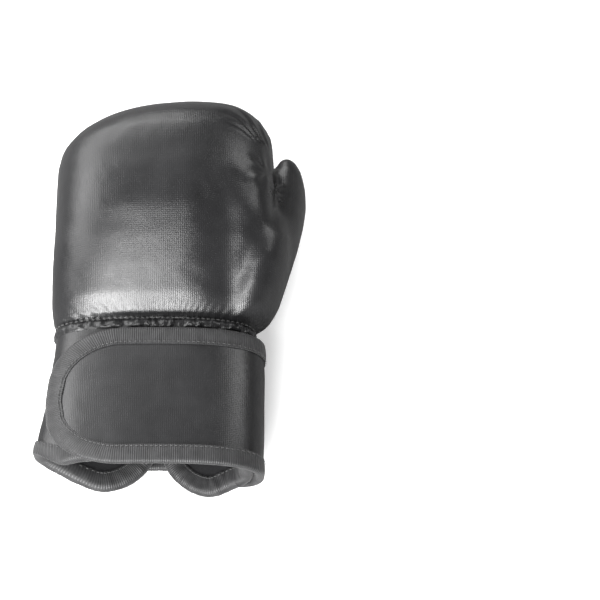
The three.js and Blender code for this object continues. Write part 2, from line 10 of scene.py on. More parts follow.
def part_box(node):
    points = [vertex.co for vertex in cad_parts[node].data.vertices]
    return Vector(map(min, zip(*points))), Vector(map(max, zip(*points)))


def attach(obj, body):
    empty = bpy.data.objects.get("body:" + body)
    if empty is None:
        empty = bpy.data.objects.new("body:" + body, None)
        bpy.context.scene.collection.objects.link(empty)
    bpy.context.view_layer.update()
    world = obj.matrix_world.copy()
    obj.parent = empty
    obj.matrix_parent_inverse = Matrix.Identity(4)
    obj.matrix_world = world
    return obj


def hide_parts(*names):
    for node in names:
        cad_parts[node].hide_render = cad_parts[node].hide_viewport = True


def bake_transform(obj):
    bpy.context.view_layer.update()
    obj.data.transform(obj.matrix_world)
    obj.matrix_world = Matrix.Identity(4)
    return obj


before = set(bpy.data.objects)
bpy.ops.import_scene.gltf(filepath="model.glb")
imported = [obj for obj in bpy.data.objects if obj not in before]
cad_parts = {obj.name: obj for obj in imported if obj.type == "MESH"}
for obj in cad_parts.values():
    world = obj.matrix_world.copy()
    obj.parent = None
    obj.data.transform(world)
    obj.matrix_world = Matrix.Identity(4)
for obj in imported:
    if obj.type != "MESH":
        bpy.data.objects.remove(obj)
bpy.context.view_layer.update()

# The surface, the light and the camera. The glove lies on a pale table among six soft boxes, and the camera
# looks down on it over its cuff. Places on the glove are measured in millimetres from the middle of its wrist
# seam, and place() turns them into places on the table.
MM = 0.001
cuff_low, cuff_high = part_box("cuff_back_cover")
wrist = Vector(((cuff_low.x + cuff_high.x) / 2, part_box("wrist_welt")[1].y, 0))


def place(x, y, z):
    return wrist + Vector((x, y, z)) * MM


CAMERA_ELEVATION = math.radians(66)
CAMERA_DISTANCE = 1.3
LENS = 118
TABLE_SIZE = 8
TABLE_GLOW = 0.35
BACKDROP_STRENGTH = 0.16
camera_aim = place(88, 23, 38)
lamp_aim = place(0, 20, 40)

bpy.ops.object.select_all(action="DESELECT")
bpy.ops.mesh.primitive_plane_add(size=TABLE_SIZE, location=(0, 0, 0))
table = bpy.context.object
table.name = "table"
bpy.ops.object.transform_apply(location=True, rotation=True, scale=True)
table_finish = bpy.data.materials.new("white_table")
table_finish.use_nodes = True
table_shader = table_finish.node_tree.nodes["Principled BSDF"]
table_shader.inputs["Base Color"].default_value = (0.94, 0.94, 0.94, 1)
table_shader.inputs["Roughness"].default_value = 0.9
table_shader.inputs["Emission Color"].default_value = (1, 1, 1, 1)
table_shader.inputs["Emission Strength"].default_value = TABLE_GLOW
# The leather mirrors a darker table, as it would between dark screens.
dim_table = table_finish.node_tree.nodes.new("ShaderNodeBsdfDiffuse")
dim_table.inputs["Color"].default_value = (0.2, 0.2, 0.2, 1)
table_rays = table_finish.node_tree.nodes.new("ShaderNodeLightPath")
table_mix = table_finish.node_tree.nodes.new("ShaderNodeMixShader")
table_wires = table_finish.node_tree.links
table_wires.new(table_rays.outputs["Is Glossy Ray"], table_mix.inputs["Fac"])
table_wires.new(table_shader.outputs["BSDF"], table_mix.inputs[1])
table_wires.new(dim_table.outputs["BSDF"], table_mix.inputs[2])
table_end = table_finish.node_tree.nodes["Material Output"]
table_wires.new(table_mix.outputs["Shader"], table_end.inputs["Surface"])
table.data.materials.append(table_finish)


def soft_box(name, azimuth, elevation, distance, width, height, watts):
    """A rectangular soft box, aimed at the glove. Azimuth 0 stands over the knuckles, 180 over the cuff."""
    a, e = math.radians(azimuth), math.radians(elevation)
    away = Vector((math.sin(a) * math.cos(e), math.cos(a) * math.cos(e), math.sin(e)))
    bpy.ops.object.light_add(type="AREA", location=lamp_aim + away * distance)
    lamp = bpy.context.object
    lamp.name = name
    lamp.rotation_euler = away.to_track_quat("Z", "Y").to_euler()
    lamp.data.shape = "RECTANGLE"
    lamp.data.size, lamp.data.size_y = width, height
    lamp.data.energy = watts


soft_box("front_soft_box", 197, 18, 1.4, 0.9, 0.28, 40)
soft_box("high_front_soft_box", 199, 46, 1.5, 0.7, 1.0, 27)
soft_box("back_soft_box", -35, 60, 1.8, 1.2, 0.8, 4)
soft_box("low_back_soft_box", -38, 26, 2.0, 3.0, 1.3, 62)
soft_box("right_soft_box", 62, 34, 1.6, 0.7, 0.7, 7)
soft_box("left_soft_box", -95, 34, 1.6, 1.3, 0.8, 20)

world = bpy.data.worlds.new("studio")
world.use_nodes = True
backdrop = world.node_tree.nodes["Background"]
backdrop.inputs["Color"].default_value = (1, 1, 1, 1)
backdrop.inputs["Strength"].default_value = BACKDROP_STRENGTH
seen_backdrop = world.node_tree.nodes.new("ShaderNodeBackground")
seen_backdrop.inputs["Color"].default_value = (1, 1, 1, 1)
rays = world.node_tree.nodes.new("ShaderNodeLightPath")
either = world.node_tree.nodes.new("ShaderNodeMixShader")
world_wires = world.node_tree.links
world_wires.new(rays.outputs["Is Camera Ray"], either.inputs["Fac"])
world_wires.new(backdrop.outputs["Background"], either.inputs[1])
world_wires.new(seen_backdrop.outputs["Background"], either.inputs[2])
world_wires.new(either.outputs["Shader"], world.node_tree.nodes["World Output"].inputs["Surface"])
bpy.context.scene.world = world
bpy.context.scene.view_settings.view_transform = "Standard"

away = Vector((0, -math.cos(CAMERA_ELEVATION), math.sin(CAMERA_ELEVATION)))
bpy.ops.object.camera_add(location=camera_aim + away * CAMERA_DISTANCE)
camera = bpy.context.object
camera.rotation_euler = away.to_track_quat("Z", "Y").to_euler()
camera.data.lens = LENS
bpy.context.scene.camera = camera

# The mitt. Shiny black polyurethane leather is sewn over moulded foam: one large panel covers the back of the
# hand and the outside of the thumb, and another the palm, the curled fingers and the inside of the thumb.
# The foam swells the leather, which gathers at the thumb's crotch, beside the thumb's tip and at the wrist.
fist_low, fist_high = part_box("back_panel")
FIST_HALF = (fist_high.x - fist_low.x) / 2 / MM
FIST_TOP = fist_high.z / MM
WRIST_HALF, WRIST_BOTTOM, WRIST_TOP = 61, 9, 61
NOSE_START, NOSE_LENGTH, NOSE_Z = 111, 50, 58
KNUCKLE_SLANT = 18
INDEX_KNUCKLE_REACH = 4
THUMB_TIP_DENT, THUMB_TIP_Y, THUMB_TIP_Z = 4.5, 116, 44
VALLEY_DEPTH, VALLEY_X, VALLEY_WIDTH = 6.5, 40, 11
MITT_VOXEL = 2.7
MITT_CUT = -2
CLOTH_FRAMES, CLOTH_PRESSURE, CLOTH_CAP = 20, 4, 2.5
CLOTH_HELD, CLOTH_FREE = 6, (5, 36)  # held up to the first, and swelling fully past the last
BROAD_SWELL, SMALL_SWELL = 0.22, 0.07
NOTCH = (69, 104)  # the middle of the gathers beside the thumb's tip
NOTCH_FOLDS, NOTCH_FINE_FOLDS = 14, 31
WRIST_FOLDS, WRIST_FOLD_DEPTH, WRIST_TUCK = 61, 0.12, 1.4
CROTCH = (67, 93)
CROTCH_FOLDS, CROTCH_FOLD_DEPTH = 7, 0.45
SEAM_DEPTH, SEAM_WIDTH = 1.3, 1.3
SEAM_LINE = [(0, 34), (34, 42), (70, 46), (96, 40), (114, 26), (124, 10)]


def smooth(value, low, high):
    """0 below low, 1 above high, and a smooth step between."""
    t = np.clip((value - low) / (high - low), 0, 1)
    return t * t * (3 - 2 * t)


def hump(value, middle, width):
    return np.exp(-(((value - middle) / width) ** 2))


def select_none():
    bpy.ops.object.select_all(action="DESELECT")


def points(piece):
    """The piece's vertices in millimetres from the middle of the wrist seam."""
    co = np.empty(len(piece.data.vertices) * 3)
    piece.data.vertices.foreach_get("co", co)
    return (co.reshape(-1, 3) - np.array(wrist)) / MM


def set_points(piece, co):
    piece.data.vertices.foreach_set("co", (co * MM + np.array(wrist)).ravel())
    piece.data.update()


def normals(piece):
    n = np.empty(len(piece.data.vertices) * 3)
    piece.data.vertex_normals.foreach_get("vector", n)
    return n.reshape(-1, 3)


def ripple(co, size, seed=0.0):
    """Smooth noise between about -1 and 1, with bumps of the given size in millimetres."""
    return np.array([noise.noise(Vector(p) / size + Vector((seed, seed, seed))) for p in co]) * 1.6


def apply_modifier(piece, kind, **settings):
    bpy.context.view_layer.objects.active = piece
    modifier = piece.modifiers.new(kind.lower(), kind)
    for key, value in settings.items():
        setattr(modifier, key, value)
    bpy.ops.object.modifier_apply(modifier=modifier.name)


def join(pieces):
    select_none()
    for piece in pieces:
        piece.select_set(True)
    bpy.context.view_layer.objects.active = pieces[0]
    bpy.ops.object.join()
    return pieces[0]


def loft(name, rings, sides=64, power=2.5):
    """A closed form drawn ring by ring along Y. Each ring is (y, middle x, half width, bottom, top)."""
    select_none()
    y, middle, half, bottom, top = rings[0]
    bpy.ops.mesh.primitive_circle_add(vertices=sides, fill_type="NGON", rotation=(math.pi / 2, 0, 0))
    form = bpy.context.object
    form.name = name
    bpy.ops.object.transform_apply(location=True, rotation=True, scale=True)
    for v in form.data.vertices:
        square_x, square_z = (math.copysign(abs(c) ** (2 / power), c) for c in (v.co.x, v.co.z))
        v.co = place(middle + half * square_x, y, (bottom + top) / 2 + (top - bottom) / 2 * square_z)
    bpy.ops.object.mode_set(mode="EDIT")
    bpy.ops.mesh.select_all(action="SELECT")
    for ring in rings[1:]:
        shift = place(ring[1], ring[0], (ring[3] + ring[4]) / 2) - place(middle, y, (bottom + top) / 2)
        bpy.ops.mesh.extrude_region_move(TRANSFORM_OT_translate={"value": shift})
        growth = (ring[2] / half, 1, (ring[4] - ring[3]) / (top - bottom))
        y, middle, half, bottom, top = ring
        bpy.ops.transform.resize(value=growth, center_override=place(middle, y, (bottom + top) / 2))
    bpy.ops.mesh.select_all(action="SELECT")
    bpy.ops.mesh.normals_make_consistent(inside=False)
    bpy.ops.object.mode_set(mode="OBJECT")
    return form


mitt_rings = [
    (-8, -7.5, WRIST_HALF + 3, WRIST_BOTTOM, WRIST_TOP),
    (0, -7.5, WRIST_HALF + 4.5, WRIST_BOTTOM - 1, WRIST_TOP - 0.5),
    (7, -5, 69.5, 6, 68),
    (14, -4, 71, 5, 75.5),
    (30, -2.5, 72, 8, 87),
    (46, -1, 72.5, 17, 95.5),
    (65, 0, 73, 9, 104),
    (90, 0, FIST_HALF - 0.5, 1.5, FIST_TOP - 0.8),
    (NOSE_START, 0, FIST_HALF - 0.5, 0.8, FIST_TOP - 0.3),
]
for turn in (15, 30, 43, 55, 66, 75, 82):
    shrink = math.cos(math.radians(turn))
    reach = NOSE_LENGTH * math.sin(math.radians(turn))
    bottom, top = NOSE_Z * (1 - shrink), NOSE_Z + (FIST_TOP - NOSE_Z) * shrink
    mitt_rings.append((NOSE_START + reach, 0, FIST_HALF * shrink, bottom, top))
mitt_leather = loft("mitt_leather", mitt_rings)

# The knuckles slant back towards the little finger, and the thumb's tip presses in the side of the fist.
co = points(mitt_leather)
slant = (0.5 - co[:, 0] / (2 * FIST_HALF)) * np.clip(co[:, 1] / (NOSE_START + NOSE_LENGTH), 0, 1) ** 2
co[:, 1] -= KNUCKLE_SLANT * slant
co[:, 1] += INDEX_KNUCKLE_REACH * smooth(co[:, 0], 20, 60) * smooth(co[:, 1], 90, 150)
dent = hump(co[:, 1], THUMB_TIP_Y, 12) * hump(co[:, 2], THUMB_TIP_Z, 20) * smooth(co[:, 0], 40, 65)
co[:, 0] -= THUMB_TIP_DENT * dent
set_points(mitt_leather, co)

thumb_rings = [
    (6, 50, 10, 21, 41), (14, 52, 16, 17, 50), (28, 55, 20.5, 14, 58), (44, 60.5, 22, 13, 66),
    (60, 66, 21.5, 13, 70), (76, 71.5, 20, 15, 67), (88, 75, 18.5, 17, 62), (98, 77.3, 16.2, 21, 58),
    (106, 79.3, 13.5, 25, 55), (113, 80.8, 10.8, 30, 52.5), (119, 81.2, 8.2, 33.5, 50.5),
    (123.5, 81, 5.6, 36, 48), (126.5, 80.8, 2.6, 39.5, 45),
]
thumb_form = loft("thumb_form", thumb_rings, sides=40, power=2.1)
root_rings = [
    (-6, 42, 12, 22, 52), (2, 43.5, 13, 18, 56), (9, 50, 18.5, 10, 65), (20, 54, 21, 8, 73),
    (38, 58.5, 22.5, 8, 81), (54, 62, 22, 9, 81), (68, 65.5, 18.5, 13, 75), (79, 68, 14, 18, 67),
    (87, 70, 9, 24, 59), (92, 71, 4, 32, 52),
]
root_form = loft("thumb_root_form", root_rings, sides=40, power=2.2)
mitt_leather = join([mitt_leather, thumb_form, root_form])
apply_modifier(mitt_leather, "REMESH", mode="VOXEL", voxel_size=MITT_VOXEL * MM)

# A shallow valley parts the thumb's base from the back of the hand.
co = points(mitt_leather)
along_valley = smooth(co[:, 1], 0, 25) * smooth(-co[:, 1], -95, -55)
co[:, 2] -= VALLEY_DEPTH * hump(co[:, 0], VALLEY_X, VALLEY_WIDTH) * along_valley * smooth(co[:, 2], 45, 60)
set_points(mitt_leather, co)
apply_modifier(mitt_leather, "SMOOTH", iterations=9, factor=0.5)

# The wrist end is cut open, and air pressure swells the leather as the foam does.
bpy.ops.object.mode_set(mode="EDIT")
bpy.ops.mesh.select_all(action="SELECT")
bpy.ops.mesh.bisect(plane_co=place(0, MITT_CUT, 0), plane_no=(0, -1, 0), clear_outer=True)
bpy.ops.object.mode_set(mode="OBJECT")
before = points(mitt_leather)
held = mitt_leather.vertex_groups.new(name="held")
held.add([int(i) for i in np.where(before[:, 1] < CLOTH_HELD)[0]], 1.0, "REPLACE")
cloth = mitt_leather.modifiers.new("cloth", "CLOTH")
cloth.settings.vertex_group_mass = "held"
cloth.settings.use_pressure = True
cloth.settings.uniform_pressure_force = CLOTH_PRESSURE
cloth.settings.effector_weights.gravity = 0
cloth.settings.tension_stiffness = 40
cloth.settings.bending_stiffness = 4
cloth.point_cache.frame_end = CLOTH_FRAMES
for step in range(1, CLOTH_FRAMES + 1):
    bpy.context.scene.frame_set(step)
bpy.context.view_layer.objects.active = mitt_leather
bpy.ops.object.modifier_apply(modifier="cloth")
bpy.context.scene.frame_set(1)
moved = points(mitt_leather) - before
distance = np.linalg.norm(moved, axis=1)[:, None] + 1e-9
swell = np.minimum(1, CLOTH_CAP / distance) * smooth(before[:, 1], *CLOTH_FREE)[:, None]
set_points(mitt_leather, before + moved * swell)
mitt_leather.vertex_groups.clear()
apply_modifier(mitt_leather, "SUBSURF", levels=1, render_levels=1)

# Gathers, creases and the seam between the two panels, pressed into the swollen leather.
co = points(mitt_leather)
out = normals(mitt_leather)
depth = BROAD_SWELL * ripple(co, 34) + SMALL_SWELL * ripple(co, 11, 5)

# A fan of gathers round the notch, on the fist's side of it.
from_notch = np.hypot(co[:, 0] - NOTCH[0], co[:, 1] - NOTCH[1])
fan = np.degrees(np.arctan2(co[:, 1] - NOTCH[1], NOTCH[0] - co[:, 0]))
fan_warp = fan + 5 * ripple(co, 22, 9) + 0.25 * from_notch
folds = np.abs(np.sin(np.radians(fan_warp * NOTCH_FOLDS))) ** 0.55
fine_folds = np.sin(np.radians(fan_warp * NOTCH_FINE_FOLDS))
on_fist = smooth(-co[:, 0], -71, -66) * smooth(co[:, 2], 52, 62)
in_reach = smooth(from_notch, 5, 14) * smooth(-from_notch, -52, -20)
in_fan = smooth(fan, 22, 50) * smooth(-fan, -112, -88)
depth -= (0.9 - 1.5 * folds + 0.4 * fine_folds) * in_reach * on_fist * in_fan

# Small folds all round the wrist, where the leather is drawn in and tucked under the welt.
around_wrist = np.degrees(np.arctan2(co[:, 2] - 35, co[:, 0]))
wrist_fold = np.sin(np.radians(around_wrist * WRIST_FOLDS + 40 * ripple(co, 14, 3)))
depth += WRIST_FOLD_DEPTH * wrist_fold * smooth(-co[:, 1], -12, -3) * smooth(co[:, 1], -1, 2)
depth -= WRIST_TUCK * smooth(-co[:, 1], -4, 0.5)

# Creases that run out from the thumb's crotch, and the seam on the little-finger side.
crotch = np.hypot(co[:, 0] - CROTCH[0], co[:, 1] - CROTCH[1])
crotch_turn = np.degrees(np.arctan2(co[:, 1] - CROTCH[1], co[:, 0] - CROTCH[0]))
crotch_fold = np.sin(np.radians(crotch_turn * CROTCH_FOLDS + 60 * ripple(co, 12, 2)))
near_crotch = smooth(crotch, 2, 6) * smooth(-crotch, -18, -7) * smooth(co[:, 2], 30, 45)
depth += CROTCH_FOLD_DEPTH * crotch_fold * near_crotch
seam_z = np.interp(co[:, 1], [p[0] for p in SEAM_LINE], [p[1] for p in SEAM_LINE])
depth -= SEAM_DEPTH * hump(co[:, 2], seam_z, SEAM_WIDTH) * smooth(-co[:, 1], -128, -120) * (co[:, 0] < 20)
set_points(mitt_leather, co + out * depth[:, None])
select_none()
mitt_leather.select_set(True)
bpy.context.view_layer.objects.active = mitt_leather
bpy.ops.object.shade_smooth()


class Finish:
    """A material under construction: a named shader with nodes added one by one."""

    def __init__(self, name, colour, roughness, **sockets):
        self.material = bpy.data.materials.new(name)
        self.material.use_nodes = True
        self.tree = self.material.node_tree
        self.shader = self.tree.nodes["Principled BSDF"]
        self.shader.inputs["Base Color"].default_value = (*colour, 1)
        self.shader.inputs["Roughness"].default_value = roughness
        for socket, value in sockets.items():
            self.shader.inputs[socket.replace("_", " ")].default_value = value
        self.last_bump = None

    def node(self, kind, **values):
        made = self.tree.nodes.new(kind)
        for key, value in values.items():
            if key in made.inputs.keys():
                made.inputs[key].default_value = value
            else:
                setattr(made, key, value)
        return made

    def wire(self, out_socket, in_socket):
        self.tree.links.new(out_socket, in_socket)

    def coordinates(self, uv=False, turn=0.0):
        source = self.node("ShaderNodeTexCoord").outputs["UV" if uv else "Object"]
        mapping = self.node("ShaderNodeMapping", Rotation=(0, 0, turn))
        self.wire(source, mapping.inputs["Vector"])
        return mapping.outputs["Vector"]

    def ramp(self, value, low, high, low_at=0.0, high_at=1.0):
        """Grey or coloured levels, from low at low_at to high at high_at."""
        made = self.node("ShaderNodeValToRGB")
        made.color_ramp.elements[0].position, made.color_ramp.elements[1].position = low_at, high_at
        made.color_ramp.elements[0].color = (*low, 1)
        made.color_ramp.elements[1].color = (*high, 1)
        self.wire(value, made.inputs["Fac"])
        return made.outputs["Color"]

    def bump(self, height, distance, strength=1.0):
        made = self.node("ShaderNodeBump", Distance=distance, Strength=strength)
        self.wire(height, made.inputs["Height"])
        if self.last_bump:
            self.wire(self.last_bump, made.inputs["Normal"])
        self.wire(made.outputs["Normal"], self.shader.inputs["Normal"])
        self.last_bump = made.outputs["Normal"]


def grey(level):
    return (level, level, level)


# Polyurethane leather: a thin gloss over a fine, faint weave of upright and level threads, slightly scuffed.
WEAVE_SCALE, THREAD_HEIGHTS = 260, {"X": 0.00012, "Y": 0.00009}
GRAIN_SCALE, DENT_SCALE, SCUFF_SCALE = 900, 55, 26
leather = Finish("glossy_leather", (0.012, 0.012, 0.0125), 0.34, Specular_IOR_Level=0.4, Coat_Weight=0.15,
                 Coat_Roughness=0.25)
place_of = leather.coordinates()
scuff = leather.node("ShaderNodeTexNoise", Scale=SCUFF_SCALE, Detail=6, Roughness=0.6)
leather.wire(place_of, scuff.inputs["Vector"])
leather.wire(leather.ramp(scuff.outputs["Fac"], grey(0.27), grey(0.43), 0.3, 0.75),
             leather.shader.inputs["Roughness"])
leather.wire(leather.ramp(scuff.outputs["Fac"], (0.010, 0.010, 0.0105), (0.017, 0.017, 0.018), 0.3, 0.8),
             leather.shader.inputs["Base Color"])
facing = leather.node("ShaderNodeSeparateXYZ")
leather.wire(leather.node("ShaderNodeTexCoord").outputs["Normal"], facing.inputs["Vector"])
for direction, reach in THREAD_HEIGHTS.items():
    threads = leather.node("ShaderNodeTexWave", bands_direction=direction, Scale=WEAVE_SCALE, Distortion=1.6,
                           Detail=2)
    threads.inputs["Detail Scale"].default_value = 0.6
    leather.wire(place_of, threads.inputs["Vector"])
    # The threads fade out where the surface faces along them, or they would draw rings there.
    squared = leather.node("ShaderNodeMath", operation="MULTIPLY")
    leather.wire(facing.outputs[direction], squared.inputs[0])
    leather.wire(facing.outputs[direction], squared.inputs[1])
    fade = leather.node("ShaderNodeMath", operation="MULTIPLY_ADD")
    leather.wire(squared.outputs["Value"], fade.inputs[0])
    fade.inputs[1].default_value, fade.inputs[2].default_value = -1.4, 1.0
    fade.use_clamp = True
    woven = leather.node("ShaderNodeMath", operation="MULTIPLY")
    leather.wire(threads.outputs["Fac"], woven.inputs[0])
    leather.wire(fade.outputs["Value"], woven.inputs[1])
    leather.bump(woven.outputs["Value"], reach, 0.35)
grain = leather.node("ShaderNodeTexVoronoi", feature="DISTANCE_TO_EDGE", Scale=GRAIN_SCALE)
leather.wire(place_of, grain.inputs["Vector"])
leather.bump(grain.outputs["Distance"], 0.00025, 0.4)
dents = leather.node("ShaderNodeTexNoise", Scale=DENT_SCALE, Detail=3)
leather.wire(place_of, dents.inputs["Vector"])
leather.bump(dents.outputs["Fac"], 0.0012, 0.35)

mitt_leather.data.materials.append(leather.material)
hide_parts("back_panel", "thumb_back_panel", "soft_knuckle_pad", "palm_panel", "finger_panel",
            "thumb_palm_panel", "palm_pad", "finger_pad", "thumb_pad")
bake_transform(mitt_leather)

# The cuff. Leather outside and fabric inside are sewn over thin foam: a back piece, and two flaps that close
# under the wrist and part in the middle. Flat patterns are cut first, then wrapped round the wrist. On them,
# s runs round the cuff from the middle of its back, positive towards the thumb, and y runs along it.
CUFF_HALF_WIDTH = (cuff_high.x - cuff_low.x) / 2 / MM
CUFF_TOP_Z = cuff_high.z / MM
CUFF_HALF_HEIGHT = 26.5
CUFF_MIDDLE_Z = CUFF_TOP_Z - CUFF_HALF_HEIGHT
CUFF_SQUARENESS = 2.6
CUFF_WALL = 7.4
CUFF_END = (cuff_low.y - wrist.y) / MM
HEM_RISE, LITTLE_FINGER_RISE, THUMB_RISE = 9, 4.5, 3  # the back's hem stays hidden under the strap
FLAP_END = (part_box("thumb_flap_cover")[0].y - wrist.y) / MM
FLAP_ANGLE = -30.7
CUFF_START = -2  # where the cuff's leather begins, under the welt
SLIT_TOP, SLIT_HALF, FLAP_CORNER = -22, 3, 36
CUFF_SHIFT, LEFT_BULGE = 3.5, 6.5  # the padded cuff sits towards the little finger, and bulges there
MOUTH_FLARE, MOUTH_RISE = 12, 12
ROOT_SINK = 8.5  # the strap's root goes in under the cuff's leather


def section(angles):
    """Points and outward normals of the cuff's oval section. 0 is the thumb side, 90 degrees the back."""
    c, s = np.cos(np.radians(angles)), np.sin(np.radians(angles))
    x = CUFF_HALF_WIDTH * np.sign(c) * np.abs(c) ** (2 / CUFF_SQUARENESS)
    z = CUFF_HALF_HEIGHT * np.sign(s) * np.abs(s) ** (2 / CUFF_SQUARENESS)
    nx = np.sign(x) * np.abs(x / CUFF_HALF_WIDTH) ** (CUFF_SQUARENESS - 1) / CUFF_HALF_WIDTH
    nz = np.sign(z) * np.abs(z / CUFF_HALF_HEIGHT) ** (CUFF_SQUARENESS - 1) / CUFF_HALF_HEIGHT
    size = np.hypot(nx, nz)
    return x, z + CUFF_MIDDLE_Z, nx / size, nz / size


table_angles = np.linspace(-200, 300, 4001)
table_x, table_z, _, _ = section(table_angles)
table_s = np.concatenate([[0], np.cumsum(np.hypot(np.diff(table_x), np.diff(table_z)))])
table_s = np.interp(90, table_angles, table_s) - table_s


def s_at(angle):
    return float(np.interp(angle, table_angles, table_s))


strap_start = s_at(-162)


def wrap(s, y, lift, flare):
    """Places on the wrapped cuff. The mouth flares out at the little-finger side and below the strap."""
    angles = np.interp(s, table_s[::-1], table_angles[::-1])
    x, z, nx, nz = section(angles)
    lift = lift - ROOT_SINK * smooth(s, strap_start - 30, strap_start)
    co = np.stack([x + nx * lift, y, z + nz * lift], axis=-1)
    co[:, 0] -= CUFF_SHIFT + LEFT_BULGE * smooth(-x, 15, CUFF_HALF_WIDTH)
    towards_mouth = np.clip((-y - 10) / (-CUFF_END - 10), 0, 1.2)
    turned = (angles - 170 + 180) % 360 - 180
    left_side = smooth(turned, -24, 6) * smooth(-turned, -75, -25)
    co[:, 0] -= flare * MOUTH_FLARE * left_side * towards_mouth**1.3
    co[:, 1] += flare * MOUTH_RISE * left_side * smooth(-y, 50, 106)
    co[:, 2] += flare * 3 * hump(angles, 140, 45) * smooth(-y, 97, 106)
    co[:, 1] -= flare * 3 * hump(angles, 60, 40) * smooth(-y, 60, 106)
    return co


def flat_grid(name, columns, rows):
    """A flat grid on the unit square, with a map of it."""
    select_none()
    bpy.ops.mesh.primitive_grid_add(x_subdivisions=columns, y_subdivisions=rows, size=1,
                                    location=(0.5, 0.5, 0))
    piece = bpy.context.object
    piece.name = name
    bpy.ops.object.transform_apply(location=True, rotation=True, scale=True)
    return piece


def raw(piece):
    """The piece's vertices in its own metres."""
    co = np.empty(len(piece.data.vertices) * 3)
    piece.data.vertices.foreach_get("co", co)
    return co.reshape(-1, 3)


def set_uv(piece, u, v):
    """A pattern map in centimetres of the flat pattern."""
    corners = np.empty(len(piece.data.loops), dtype=int)
    piece.data.loops.foreach_get("vertex_index", corners)
    uv = np.stack([u[corners], v[corners]], axis=-1) / 10
    piece.data.uv_layers.active.data.foreach_set("uv", uv.ravel())


def padded_panel(name, s_range, y_top, y_end, lifts, finishes, rounded="tbse", edge=5, puff=0.5, flare=0,
                 crease=0.3, spacing=2.6):
    """A padded sheet, cut flat and wrapped. The letters of rounded name its soft edges: t for the top, b for
    the bottom, s for the start and e for the end."""
    s_start, s_end = s_range
    length = abs(s_end - s_start)
    s_middle = s_start * 0.5 + s_end * 0.5
    columns = int(length / spacing)
    rows = int(abs(y_top(s_middle) - y_end(s_middle)) / spacing)
    piece = flat_grid(name, columns, rows)
    bpy.ops.object.mode_set(mode="EDIT")
    bpy.ops.mesh.select_all(action="SELECT")
    bpy.ops.mesh.extrude_region_move(TRANSFORM_OT_translate={"value": (0, 0, 1)})
    bpy.ops.mesh.select_all(action="SELECT")
    bpy.ops.mesh.normals_make_consistent(inside=False)
    bpy.ops.object.mode_set(mode="OBJECT")
    for finish in finishes:
        piece.data.materials.append(finish.material)
    for face in piece.data.polygons:
        face.material_index = 1 if len(finishes) > 1 and face.normal.z < -0.5 else 0
    u, v, w = raw(piece).T
    s = s_start + u * (s_end - s_start)
    top, low = y_top(s), y_end(s)
    y = low + v * (top - low)
    gaps = {"t": top - y, "b": y - low, "s": u * length, "e": (1 - u) * length}
    room = np.full(len(u), 1e3)
    for letter in rounded:
        room = np.minimum(room, gaps[letter])
    roundness = np.sqrt(1 - (1 - np.clip(room / edge, 0, 1)) ** 2)
    inner, outer = lifts
    middle = (inner + outer) / 2
    reach = (outer - inner) / 2 * (0.45 + 0.55 * roundness)
    lift = middle + np.where(w > 0.5, reach, -reach)
    lift += np.where(w > 0.5, puff * smooth(room, 0, 22), 0)
    soft = np.stack([s, y, w * 0], axis=-1)
    creases = ripple(soft, 30, len(name)) * 0.7 + ripple(soft, 9, len(name) + 3) * 0.3
    lift += crease * creases * np.where(w > 0.5, 1, 0.6)
    set_uv(piece, s, y)
    set_points(piece, wrap(s, y, lift, flare))
    select_none()
    piece.select_set(True)
    bpy.context.view_layer.objects.active = piece
    bpy.ops.object.mode_set(mode="EDIT")
    bpy.ops.mesh.select_all(action="SELECT")
    bpy.ops.mesh.normals_make_consistent(inside=False)
    bpy.ops.object.mode_set(mode="OBJECT")
    bpy.ops.object.shade_smooth_by_angle(angle=math.radians(50))
    return piece


def level(value):
    return lambda s: np.full_like(np.asarray(s, dtype=float), value)


# Lining: a dull, close twill.
lining = Finish("lining_twill", (0.014, 0.014, 0.015), 0.9, Specular_IOR_Level=0.15)
cloth_place = lining.coordinates(turn=math.radians(45))
twill = lining.node("ShaderNodeTexWave", bands_direction="X", Scale=420, Distortion=0.6, Detail=1)
lining.wire(cloth_place, twill.inputs["Vector"])
lining.wire(lining.ramp(twill.outputs["Fac"], (0.007, 0.007, 0.008), (0.022, 0.022, 0.023)),
            lining.shader.inputs["Base Color"])
lining.bump(twill.outputs["Fac"], 0.0003, 0.6)

flap_fold = s_at(FLAP_ANGLE)
far_fold = s_at(180 - FLAP_ANGLE)
mid_palm = s_at(-90)
FLAP_REACH = {flap_fold: FLAP_END - CUFF_END + 2, far_fold: 1.5}  # the two flaps aren't quite alike
far_mid_palm = s_at(270)


def back_hem(s):
    """The lower outline of the cuff's back, highest in the middle."""
    places = [far_fold, far_fold + 20, far_fold + 45, flap_fold - 35, flap_fold - 15, flap_fold]
    side_rise = (LITTLE_FINGER_RISE + HEM_RISE) / 2, (THUMB_RISE + HEM_RISE) / 2
    rises = [LITTLE_FINGER_RISE, side_rise[0], HEM_RISE, HEM_RISE, side_rise[1], THUMB_RISE]
    return CUFF_END + np.interp(s, places, rises)


def flap_end(s_fold, towards):
    """The lower outline of a flap: on from the back's hem, and rounded off to the slit under the palm."""

    def outline(s):
        reach = FLAP_REACH[s_fold] * smooth(np.abs(s - s_fold), 0, 26)
        to_slit = np.clip(np.abs(towards - s) - SLIT_HALF, 0, FLAP_CORNER)
        rise = FLAP_CORNER - np.sqrt(FLAP_CORNER**2 - (FLAP_CORNER - to_slit) ** 2)
        start = float(back_hem(s_fold)) - CUFF_END
        return CUFF_END + start * (1 - smooth(np.abs(s - s_fold), 0, 24)) + reach + rise

    return outline


